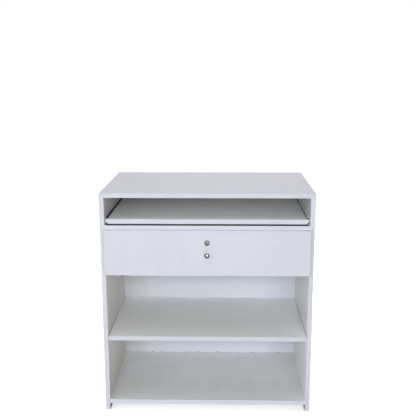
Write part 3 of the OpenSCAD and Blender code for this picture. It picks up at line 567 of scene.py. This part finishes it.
def pick(piece, test, kind="FACE"):
    """Selects faces by a test on middle and normal, or edges by a test on both ends, and enters edit mode."""
    leave_edit()
    mesh = piece.data
    for element in (*mesh.vertices, *mesh.edges, *mesh.polygons):
        element.select = False
    if kind == "FACE":
        found = [face for face in mesh.polygons if test(face.center, face.normal)]
    else:
        found = [edge for edge in mesh.edges if test(*(mesh.vertices[i].co for i in edge.vertices))]
    if not found:
        raise RuntimeError(f"{piece.name}: no {kind.lower()} was found to work on")
    for element in found:
        element.select = True
    bpy.ops.object.mode_set(mode="EDIT")
    bpy.ops.mesh.select_mode(type=kind)


def settle(piece, body, material):
    """Applies the piece's place, smooths it, gives it its material and joins it to its body."""
    start(piece)
    apply_place()
    bpy.ops.object.shade_smooth_by_angle(angle=SMOOTH_UP_TO)
    piece.data.materials.clear()
    piece.data.materials.append(material)
    piece.data.name = piece.name
    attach(piece, body)


def turned(name, outline, axis_z, steps=64):
    """A piece turned round a line along Y at x 0, from an outline of (radius, y) points in millimetres."""
    outline = [(radius * MM, y * MM) for radius, y in outline]
    start()
    bpy.ops.mesh.primitive_plane_add(size=0.01, location=(0, 0, 0))
    piece = bpy.context.object
    piece.name = name
    bpy.ops.object.mode_set(mode="EDIT")
    bpy.ops.mesh.select_mode(type="VERT")
    bpy.ops.mesh.select_all(action="SELECT")
    bpy.ops.mesh.merge(type="CENTER")
    radius, y = outline[0]
    bpy.ops.transform.translate(value=(radius, y, axis_z))
    for (r0, y0), (r1, y1) in zip(outline, outline[1:]):
        push(r1 - r0, y1 - y0, 0)
    bpy.ops.mesh.select_all(action="SELECT")
    bpy.ops.mesh.spin(steps=steps, angle=2 * pi, center=(0, 0, axis_z), axis=(0, 1, 0), use_auto_merge=True)
    bpy.ops.mesh.select_all(action="SELECT")
    bpy.ops.mesh.remove_doubles(threshold=0.004 * MM)
    bpy.ops.mesh.normals_make_consistent(inside=False)
    leave_edit()
    return piece


def arc(centre_r, centre_y, radius, first, last, count):
    """Points of an arc in an outline, angles in degrees, 0 outwards and 90 towards +Y."""
    turns = [radians(first + (last - first) * i / count) for i in range(count + 1)]
    return [(centre_r + radius * cos(turn), centre_y + radius * sin(turn)) for turn in turns]


def joined(first, second):
    """Joins the second piece to the first."""
    start(second, first)
    bpy.ops.object.join()
    return first


def copied(pattern, name, place, turned_round):
    """A copy of a pattern with its own mesh, put in its place and turned round if it faces the other way."""
    piece = pattern.copy()
    piece.data = pattern.data.copy()
    piece.name = name
    bpy.context.collection.objects.link(piece)
    piece.location = place
    if turned_round:
        piece.rotation_euler = (0, pi, 0)
    return piece


class COUNTER_OT_boards(bpy.types.Operator):
    """Finishes the melamine boards, each with the wear of its own arrises"""

    bl_idname = "counter.boards"
    bl_label = "Finish the boards"

    def execute(self, context):
        finish = context.scene.counter_finish
        wear, outside = finish.wear, finish.outside
        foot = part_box("bottom_shelf")[0].z
        front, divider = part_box("divider_shelf")[0].y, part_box("divider_shelf")[0].z
        rear, left_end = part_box("tray_board")[1].y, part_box("back_panel")[0].x
        shelf_left, shelf_right = (corner.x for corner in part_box("middle_shelf"))
        plain = (1, 1, 1)
        # Strips of painted shade: face axis and side, the axis it fades along, where it is full and gone, the light
        # left.
        left_strips = (
            # Painted shadow on the inside of the foot, below the bottom shelf.
            (0, 1, 2, foot - 1 * MM, foot, 0.1),
            # Painted shade on the inside face in the tray's bay, above the divider.
            (0, 1, 2, divider + 9 * MM, divider, 0.82),
            # Painted shade, darker and warmer towards the bottom of the inside face.
            (0, 1, 2, foot, foot + 350 * MM, (0.84, 0.82, 0.78)),
        )
        # The right side's painted shadow below the bottom shelf, and its painted shade in the tray's bay.
        right_strips = (0, -1, 2, foot - 1 * MM, foot, 0.1), (0, -1, 2, divider + 9 * MM, divider, 0.76)
        # Painted shade, darker and warmer towards the rear of the tray.
        tray_rear = (2, 1, 1, rear, rear - 260 * MM, (0.86, 0.81, 0.70))
        # Painted shade on the divider's top just behind its front edge, under the tray.
        divider_front = (2, 1, 1, front + 30 * MM, front + 60 * MM, 0.2)
        # Painted shade, slightly darker towards the front of the middle shelf.
        middle_front = (2, 1, 1, front, front + 120 * MM, 0.92)
        # Painted shade along both ends of the middle shelf, where it meets the sides.
        left_joint = (2, 1, 0, shelf_left, shelf_left + 3 * MM, 0.65)
        right_joint = (2, 1, 0, shelf_right, shelf_right - 3 * MM, 0.65)
        # Painted shade, darker towards the front of the bottom shelf.
        bottom_front = (2, 1, 1, front, front + 300 * MM, 0.86)
        # Painted shade, darker and warmer towards the left end of the back panel's front face.
        back_left = (1, -1, 0, left_end, left_end + 250 * MM, (0.93, 0.895, 0.865))
        for name, grime_and_shade, axis, side, shade, painted_light_tint, painted_shade_strips in (
            ("top_panel", 0.35, 2, -1, finish.worktop, plain, ()),
            ("drawer_front", 0.25, 1, 1, outside, plain, ()),
            # The right side's inside face is painted lighter and bluer, the left's warmer: painted light from the
            # left.
            ("left_side", 0.4, 0, 1, outside, (1.02, 0.99, 0.95), left_strips),
            ("right_side", 0.4, 0, -1, outside, (1.12, 1.13, 1.15), right_strips),
        ):
            inner = tuple(part * tinge for part, tinge in zip(finish.inside, painted_light_tint))
            dress_board(name, shade, wear, grime_and_shade, other=(axis, side, inner), painted_shade_strips=painted_shade_strips)
        # Each shelf's melamine is painted lighter or darker by its own factor: painted light and shade.
        for name, dusty, pale, painted_shade_strips in (
            ("tray_board", 0.3, 1.05, (tray_rear,)),
            ("divider_shelf", 0.4, 1.04, (divider_front,)),
            ("middle_shelf", 0.2, 1.1, (middle_front, left_joint, right_joint)),
            ("bottom_shelf", 0.6, 0.96, (bottom_front,)),
        ):
            dress_board(name, toned(finish.shelf, pale), wear, dusty=dusty, gloss=0.36, painted_shade_strips=painted_shade_strips)
        dress_board("back_panel", finish.back, wear, 0.3, other=(1, 1, outside),
                    chipboard=finish.chipboard, painted_shade_strips=(back_left,))
        for name in DRAWER_BOX:
            dress_board(name, finish.shelf, wear)
        dress(hardboard_material("White hardboard", finish.back, finish.hardboard), ["drawer_bottom"])
        return {"FINISHED"}


class COUNTER_OT_edging(bpy.types.Operator):
    """Finishes the plastic edging strips"""

    bl_idname = "counter.edging"
    bl_label = "Finish the edging"

    def execute(self, context):
        finish = context.scene.counter_finish
        shade, wear = finish.edging, finish.wear
        low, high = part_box("middle_shelf")
        near_shelf = low.z - 20 * MM, high.z + 20 * MM
        dress(edging_material("Edging strip", shade, wear), EDGING)
        # The top's strips are painted darker, and the shelf strips lighter away from the middle shelf: painted light
        # and shade.
        dress(edging_material("Top edging strip", toned(shade, 0.96), wear), ["top_edging"])
        dress(edging_material("Shelf edging strip", toned(shade, 0.97), wear, near_shelf), ["shelf_edging"])
        return {"FINISHED"}


class COUNTER_OT_fasteners(bpy.types.Operator):
    """Finishes the dowels, cams, bolts, caps, pins and screws"""

    bl_idname = "counter.fasteners"
    bl_label = "Finish the fasteners"

    def execute(self, context):
        finish = context.scene.counter_finish
        dress(beech_material("Beech dowel", finish.beech), ["panel_dowels"])
        dress(plastic_material("White cap", finish.edging, 0.34, wear=0.2), ["cam_caps"])
        casting = metal_material("Zinc casting", finish.casting, 0.46, grain=900, mottle=420, depth=0.06 * MM)
        dress(casting, DIE_CASTINGS)
        dress(metal_material("Plated steel", finish.steel, 0.3, grain=1200, mottle=500), SCREWS)
        return {"FINISHED"}


class COUNTER_OT_slides(bpy.types.Operator):
    """Finishes the ball-bearing slides and adds the plastic guides and stops at their front ends"""

    bl_idname = "counter.slides"
    bl_label = "Finish the slides"

    def execute(self, context):
        finish = context.scene.counter_finish
        hardware = context.scene.counter_hardware
        for carrier in CARRIERS:
            self.members(finish, carrier)
        shade = toned(finish.zinc, 0.85)
        dress(metal_material("Cage strip", shade, 0.34, grain=300, mottle=260, stretch=(6, 0.6, 6)), CAGES)
        balls = metal_material("Polished balls", finish.steel, 0.14, grain=2400, mottle=900, depth=0.004 * MM,
                               contrast=0.9)
        dress(balls, BALLS)
        dress(plastic_material("Dark plastic", finish.dark, 0.42), DARK_MOULDINGS)
        pale = plastic_material("Pale plastic", finish.guide, 0.4)
        guide, stop = self.guide(hardware), self.stop(hardware)
        middle_web, inner_web, set_back = 0.9 * MM, 1.3 * MM, 0.6 * MM
        for carrier, body, runners in (
            ("tray", "pull_out_shelf", "shelf_slide_middles"), ("drawer", "drawer", "drawer_slide_middles"),
        ):
            for side, facing in (("left", -1), ("right", 1)):
                low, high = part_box(f"{carrier}_slide_{side}_middle")
                web = (high.x if facing > 0 else low.x) - facing * middle_web
                piece = copied(guide, f"{carrier}_guide_{side}", (web, low.y, (low.z + high.z) / 2), facing < 0)
                settle(piece, runners, pale)
                low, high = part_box(f"{carrier}_slide_{side}_inner")
                web = (low.x if facing > 0 else high.x) + facing * inner_web
                place = (web, low.y + set_back, (low.z + high.z) / 2)
                settle(copied(stop, f"{carrier}_stop_{side}", place, facing > 0), body, pale)
        for pattern in (guide, stop):
            bpy.data.objects.remove(pattern)
        return {"FINISHED"}

    def members(self, finish, carrier):
        """Zinc plated members, brighter on one side, with old grease on the lips of some: how thin, and from
        how far off the middle."""
        low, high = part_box(f"{carrier}_slide_left_outer")
        middle_z = (low.z + high.z) / 2
        # The right side is painted lighter, with lighter grease: painted light.
        for side, grease_painted_lighter, painted_light, grease_and_shade_reach in (
            ("left", 1, 1, {"middle": 11.5 * MM, "inner": 8.5 * MM}),
            ("right", 2.6, 1.2, {"inner": 8.5 * MM}),
        ):
            for member in ("outer", "middle", "inner"):
                clean = grease_and_shade_reach.get(member)
                grime_and_painted_shade = clean and ((0, 0, 1), middle_z, clean, clean + 1.5 * MM, toned(finish.grease, grease_painted_lighter))
                name = f"{carrier}_slide_{side}_{member}"
                zinc = metal_material("Zinc plated " + name, toned(finish.zinc, painted_light), 0.42, grain=160, mottle=95,
                                      stretch=(9, 0.35, 9), contrast=0.86, metallic=0.5 / painted_light ** 4, grime_and_painted_shade=grime_and_painted_shade)
                dress(zinc, [name])

    def stop(self, hardware):
        """A stop with a hollow front."""
        piece = self.block(3.6 * MM, hardware.stop_length, hardware.stop_height, 1.2 * MM, 4)
        pick(piece, lambda c, n: n.y < -0.99)
        bpy.ops.mesh.inset(thickness=0.7 * MM)
        push(0, 1.2 * MM, 0)
        return self.eased(piece, 0.15 * MM)

    def guide(self, hardware):
        """A guide with a sunk panel."""
        piece = self.block(2.3 * MM, hardware.guide_length, hardware.guide_height, 2.2 * MM, 5)
        pick(piece, lambda c, n: n.x < -0.9)
        for border, sunk in ((1.1 * MM, 0.7 * MM), (1.6 * MM, -0.5 * MM)):
            bpy.ops.mesh.inset(thickness=border)
            push(sunk, 0, 0)
        return self.eased(piece, 0.18 * MM)

    def block(self, thick, long, tall, corner, segments):
        """A block with its four long corners rounded, its back against the web at x 0 and its nose at y 0. It
        stands out towards -X."""
        start()
        bpy.ops.mesh.primitive_cube_add(size=1, location=(-thick / 2, long / 2, 0))
        piece = bpy.context.object
        piece.scale = (thick, long, tall)
        apply_place()
        pick(piece, lambda a, b: abs(a.x - b.x) > thick / 2, "EDGE")
        bpy.ops.mesh.bevel(offset=corner, segments=segments, affect="EDGES")
        return piece

    def eased(self, piece, width):
        """Leaves edit mode and eases the moulding's sharp edges."""
        leave_edit()
        edge = piece.modifiers.new("Edge", "BEVEL")
        edge.width = width
        edge.segments = 2
        edge.limit_method = "ANGLE"
        edge.angle_limit = radians(40)
        bpy.ops.object.modifier_apply(modifier=edge.name)
        return piece


class COUNTER_OT_knob(bpy.types.Operator):
    """Turns the domed knob and sets it on the drawer front"""

    bl_idname = "counter.knob"
    bl_label = "Turn the knob"

    def execute(self, context):
        finish = context.scene.counter_finish
        hardware = context.scene.counter_hardware
        face, tip = KNOB_HIGH.y / MM, (KNOB_HIGH.y - hardware.knob_length) / MM
        rim, neck, bore, bore_end = hardware.knob_radius / MM, 4.5, 2.05, face - 9.4
        outline = [(0, bore_end - 0.9), (bore, bore_end), (bore, face - 0.4), (bore + 0.4, face), (6.2, face)]
        outline += [(6.5, face - 0.3), (6.5, face - 1.4), (6.35, face - 1.8), (5.9, face - 2)]
        for step in range(11):
            if step < 5:
                radius = neck + 1.4 * (1 - sin(pi * step / 10)) ** 2
            else:
                radius = neck + (rim - neck - 0.7) * (1 - cos(pi * (step - 5) / 10)) ** 1.6
            outline.append((radius, face - 2.4 - 10.4 * step / 10))
        outline += arc(rim - 1.3, face - 14.6, 1.3, 40, -62, 8)
        reach, shoulder = outline[-1]
        outline += [
            (reach * cos(radians(step)), shoulder + (tip - shoulder) * sin(radians(step)))
            for step in range(9, 90, 9)
        ]
        outline.append((0, tip))
        knob = turned("turned_knob", outline, (KNOB_LOW.z + KNOB_HIGH.z) / 2)
        # The knob's flanks are painted darker: painted shade.
        plating = metal_material("Bright plating", finish.plating, 0.27, grain=700, mottle=300, stretch=(1, 6, 1),
                                 depth=0.008 * MM, contrast=0.82, painted_flank_shade=0.75)
        settle(knob, "drawer", plating)
        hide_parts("knob")
        return {"FINISHED"}


class COUNTER_OT_lock(bpy.types.Operator):
    """Turns the lock housing and cuts the plug with its key slot"""

    bl_idname = "counter.lock"
    bl_label = "Make the lock"

    def execute(self, context):
        values = context.scene.counter_finish, context.scene.counter_hardware
        self.housing(*values)
        self.plug(*values)
        return {"FINISHED"}

    def housing(self, finish, hardware):
        """Flange with a rolled rim and a dished face, and a threaded barrel with two flats."""
        face, front, rear = FRONT_FACE_Y / MM, HOUSING_LOW.y / MM, HOUSING_HIGH.y / MM
        rim, bore = hardware.flange_radius / MM, hardware.plug_radius / MM + 0.05
        wall, seam = bore + 1.2, face + 2
        flange = [(bore, seam), (bore, front + 0.45), (bore + 0.25, front + 0.15), (bore + 0.7, front)]
        flange += [(8.2, front), (8.5, front + 0.25), (8.9, front + 0.28)]
        flange += arc(rim - 0.8, front + 0.85, 0.8, 215, 360, 10)
        flange += [(rim, face - 0.15), (rim - 0.15, face), (wall, face), (wall, seam), (bore, seam)]
        ring = turned("turned_lock_housing", flange, LOCK_Z, 72)
        crest, root, pitch, flat = 9, 8.55, 1, 8
        thread = [(bore, rear), (bore, seam), (wall, seam), (wall, face), (crest - 0.3, face)]
        y = face + 0.4
        while y < rear - 0.9:
            thread += [(crest, y), (crest, y + 0.12), (root, y + 0.5), (root, y + 0.62)]
            y += pitch
        thread += [(crest - 0.5, rear - 0.2), (bore + 0.5, rear), (bore, rear)]
        barrel = turned("lock_barrel", thread, LOCK_Z, 48)
        for side in (-1, 1):
            pick(barrel, lambda c, n: True)
            bpy.ops.mesh.bisect(
                plane_co=(side * flat * MM, 0, LOCK_Z), plane_no=(side, 0, 0), use_fill=True, clear_outer=True
            )
        leave_edit()
        housing = joined(ring, barrel)
        # Painted shade over the lower part of the flange, in the grease colour; its flanks are painted darker too.
        dirt_and_painted_shade = ((0.5, 0, 1), LOCK_Z - 9 * MM, 13 * MM, 9 * MM, finish.grease)
        plating = metal_material("Lock plating", finish.housing, 0.26, grain=800, mottle=320,
                                 depth=0.012 * MM, contrast=0.8, painted_flank_shade=0.7, grime_and_painted_shade=dirt_and_painted_shade)
        settle(housing, "drawer", plating)
        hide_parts("lock_housing")

    def plug(self, finish, hardware):
        """Round plug with a chamfered face, a stepped key slot and a square tail."""
        front, rear = PLUG_LOW.y, PLUG_HIGH.y
        tail = rear - 2.2 * MM
        start()
        bpy.ops.mesh.primitive_cylinder_add(
            vertices=64, radius=hardware.plug_radius, depth=tail - front,
            location=(0, (front + tail) / 2, LOCK_Z), rotation=(pi / 2, 0, 0),
        )
        plug = bpy.context.object
        plug.name = "cut_lock_plug"
        apply_place()
        pick(plug, lambda c, n: n.y < -0.9)
        bpy.ops.mesh.inset(thickness=0.35 * MM)
        for border, sunk in ((0.55 * MM, 0.3 * MM), (0.3 * MM, -0.2 * MM)):
            bpy.ops.mesh.inset(thickness=border)
            bpy.ops.transform.translate(value=(0, sunk, 0))
        pick(plug, lambda c, n: n.y > 0.9)
        bpy.ops.mesh.inset(thickness=0.8 * MM)
        half_w, half_h = hardware.key_width / 2, hardware.key_height / 2
        step = half_w * 0.35
        ledges = [-0.36 * half_h, -0.08 * half_h, 0.36 * half_h]

        def near(c, n):
            return abs(c.x) < 5 * MM and abs(c.z - LOCK_Z) < 5 * MM and c.y < front + 1 * MM and n.y < -0.5

        for x in (-half_w, -step, step, half_w):
            pick(plug, near)
            bpy.ops.mesh.bisect(plane_co=(x, 0, 0), plane_no=(1, 0, 0))
        for z in (-half_h, *ledges, half_h):
            pick(plug, near)
            bpy.ops.mesh.bisect(plane_co=(0, 0, LOCK_Z + z), plane_no=(0, 0, 1))

        def in_slot(c, n):
            x, z = c.x, c.z - LOCK_Z
            left_ward = x < -step and ledges[1] < z < ledges[2]
            right_ward = x > step and ledges[0] < z < ledges[1]
            return near(c, n) and abs(x) < half_w and abs(z) < half_h and not (left_ward or right_ward)

        pick(plug, in_slot)
        push(0, 12 * MM, 0)
        leave_edit()
        square_size, overlap = 7 * MM, 0.2 * MM
        bpy.ops.mesh.primitive_cube_add(size=square_size, location=(0, 0, LOCK_Z))
        square = bpy.context.object
        square.scale = (1, (rear - tail + overlap) / square_size, 1)
        square.location.y = (rear + tail - overlap) / 2
        apply_place()
        pick(square, lambda a, b: abs(a.y - b.y) > 1 * MM, "EDGE")
        bpy.ops.mesh.bevel(offset=0.6 * MM, segments=3, affect="EDGES")
        leave_edit()
        plug = joined(plug, square)
        # Painted shade in and below the key slot.
        dirt_and_painted_shade = ((1, 0, 0.75), LOCK_Z - 1.4 * MM, 4.2 * MM, 3.4 * MM, toned(finish.grease, 0.4))
        plating = metal_material("Plug plating", finish.plug, 0.42, grain=900, mottle=340,
                                 depth=0.015 * MM, contrast=0.86, metallic=0.6, grime_and_painted_shade=dirt_and_painted_shade)
        settle(plug, "lock_plug", plating)
        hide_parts("lock_plug")


class COUNTER_OT_stage(bpy.types.Operator):
    """Sets the floor, the studio light and the camera"""

    bl_idname = "counter.stage"
    bl_label = "Set the stage"

    def execute(self, context):
        studio = context.scene.counter_studio
        self.floor(studio)
        self.room(context.scene, studio)
        self.lamp("Front lamp", (0.1, -3.2, 1.35), (0, 0, 0.45), (2.4, 0.7), studio.front_power, True)
        self.lamp("Key lamp", (-2, -1.9, 1.2), (0, 0, 0.4), (1.2, 1.2), studio.key_power, False)
        self.lamp("Top lamp", (-0.4, -0.6, 3), (0, 0, 0.9), (2, 2), studio.top_power, True)
        self.lamp("Left lamp", (-3.2, 0.9, 1.5), (-0.4, 0.1, 0.5), (1.6, 1.6), studio.side_power, False)
        self.lamp("Right lamp", (3.2, 0.9, 1.5), (0.4, 0.1, 0.5), (1.6, 1.6), studio.side_power, False)
        self.lamp("Rear lamp", (0.6, 3.2, 1.9), (0, 0.2, 0.5), (2, 2), studio.rear_power, False)
        self.camera(context.scene, studio)
        context.scene.view_settings.view_transform = "Standard"
        return {"FINISHED"}

    def floor(self, studio):
        """A wide plain floor that looks white where no shadow falls."""
        start()
        bpy.ops.mesh.primitive_plane_add(size=24, location=(0, 0, -0.4 * MM))
        floor = bpy.context.object
        floor.name = "studio_floor"
        apply_place()
        ground = Material("Studio floor")
        pale, away = studio.floor, ground.far(ground.place)
        lit = ground.blend(ground.noise(ground.place, 1.4, 3, 0.5), toned(pale, 0.985), pale)
        lit = ground.dimmed(ground.ramp(away, 1.6, 3.2), lit, 0.08)
        seen = ground.put("ShaderNodeLightPath").outputs
        lit = ground.dimmed(seen["Is Glossy Ray"], lit, 0.3)
        shader = ground.put("ShaderNodeBsdfPrincipled", {"Base Color": lit, "Roughness": 0.9})
        level = ground.times(seen["Is Camera Ray"], ground.ramp(away, 0.9, 2.1, 0.5, 1))
        glow = ground.put("ShaderNodeEmission", {"Color": (1, 1, 1, 1), "Strength": level})
        both = ground.put("ShaderNodeAddShader", {0: shader.outputs[0], 1: glow.outputs[0]})
        ground.put("ShaderNodeOutputMaterial", {"Surface": both.outputs[0]})
        floor.data.materials.append(ground.made)

    def room(self, scene, studio):
        """Even light all round, and a white backdrop for the camera and for reflections."""
        world = bpy.data.worlds.new("Studio")
        world.use_nodes = True
        air = Nodes(world.node_tree)
        seen = air.put("ShaderNodeLightPath").outputs
        direction = air.split(air.put("ShaderNodeTexCoord").outputs["Generated"])
        plain = air.put("ShaderNodeBackground", {"Color": (1, 1, 1, 1), "Strength": studio.room})
        white = air.put("ShaderNodeBackground", {"Color": (1, 1, 1, 1), "Strength": 1})
        behind = air.ramp(direction[1], -0.55, 0.15)
        above = air.ramp(direction[2], 0.05, 0.6, 0, 0.8)
        mirrored = air.times(air.calc("MAXIMUM", seen["Is Glossy Ray"], seen["Is Transmission Ray"]),
                             air.calc("MAXIMUM", behind, above))
        backdrop = air.calc("MAXIMUM", seen["Is Camera Ray"], mirrored)
        mix = air.put("ShaderNodeMixShader", {0: backdrop, 1: plain.outputs[0], 2: white.outputs[0]})
        air.put("ShaderNodeOutputWorld", {"Surface": mix.outputs[0]})
        scene.world = world

    def lamp(self, name, place, target, size, power, mirrored):
        """A soft lamp, size wide and high, turned towards a point, and seen in gloss or not."""
        start()
        bpy.ops.object.light_add(type="AREA", location=place)
        lamp = bpy.context.object
        lamp.name = name
        lamp.data.shape = "RECTANGLE"
        lamp.data.size, lamp.data.size_y = size
        lamp.data.energy = power
        lamp.rotation_euler = (Vector(target) - Vector(place)).to_track_quat("-Z", "Y").to_euler()
        lamp.visible_camera = False
        lamp.visible_glossy = mirrored

    def camera(self, scene, studio):
        """The camera at the photograph's place and angle."""
        start()
        bpy.ops.object.camera_add(location=studio.place)
        camera = bpy.context.object
        camera.name = "Camera"
        turn = Matrix.Rotation(studio.yaw, 4, "Z") @ Matrix.Rotation(-studio.pitch, 4, "X")
        turn = turn @ Matrix.Rotation(studio.roll, 4, "Y") @ Matrix.Rotation(pi / 2, 4, "X")
        camera.rotation_euler = turn.to_euler()
        camera.data.lens = studio.lens
        camera.data.sensor_width = 36
        camera.data.sensor_fit = "HORIZONTAL"
        camera.data.shift_y = studio.rise
        scene.camera = camera


OPERATORS = (
    COUNTER_OT_boards, COUNTER_OT_edging, COUNTER_OT_fasteners, COUNTER_OT_slides,
    COUNTER_OT_knob, COUNTER_OT_lock, COUNTER_OT_stage,
)


GROUPS = {"counter_finish": CounterFinish, "counter_hardware": CounterHardware, "counter_studio": CounterStudio}


class COUNTER_PT_sidebar(bpy.types.Panel):
    """Lists the counter's pieces and values"""

    bl_idname = "COUNTER_PT_sidebar"
    bl_label = "Shop counter"
    bl_space_type = "VIEW_3D"
    bl_region_type = "UI"
    bl_category = "Counter"

    def draw(self, context):
        layout = self.layout
        for operator in OPERATORS:
            layout.operator(operator.bl_idname)
        for group, kind in GROUPS.items():
            column = layout.column(heading=kind.__doc__)
            for name in kind.__annotations__:
                column.prop(getattr(context.scene, group), name)


CLASSES = (*GROUPS.values(), *OPERATORS, COUNTER_PT_sidebar)


def register():
    for made in CLASSES:
        bpy.utils.register_class(made)
    for group, kind in GROUPS.items():
        setattr(bpy.types.Scene, group, bpy.props.PointerProperty(type=kind))


def unregister():
    for group in GROUPS:
        delattr(bpy.types.Scene, group)
    for made in reversed(CLASSES):
        bpy.utils.unregister_class(made)


def main():
    register()
    bpy.ops.counter.boards()
    bpy.ops.counter.edging()
    bpy.ops.counter.fasteners()
    bpy.ops.counter.slides()
    bpy.ops.counter.knob()
    bpy.ops.counter.lock()
    bpy.ops.counter.stage()


if __name__ == "__main__":
    main()
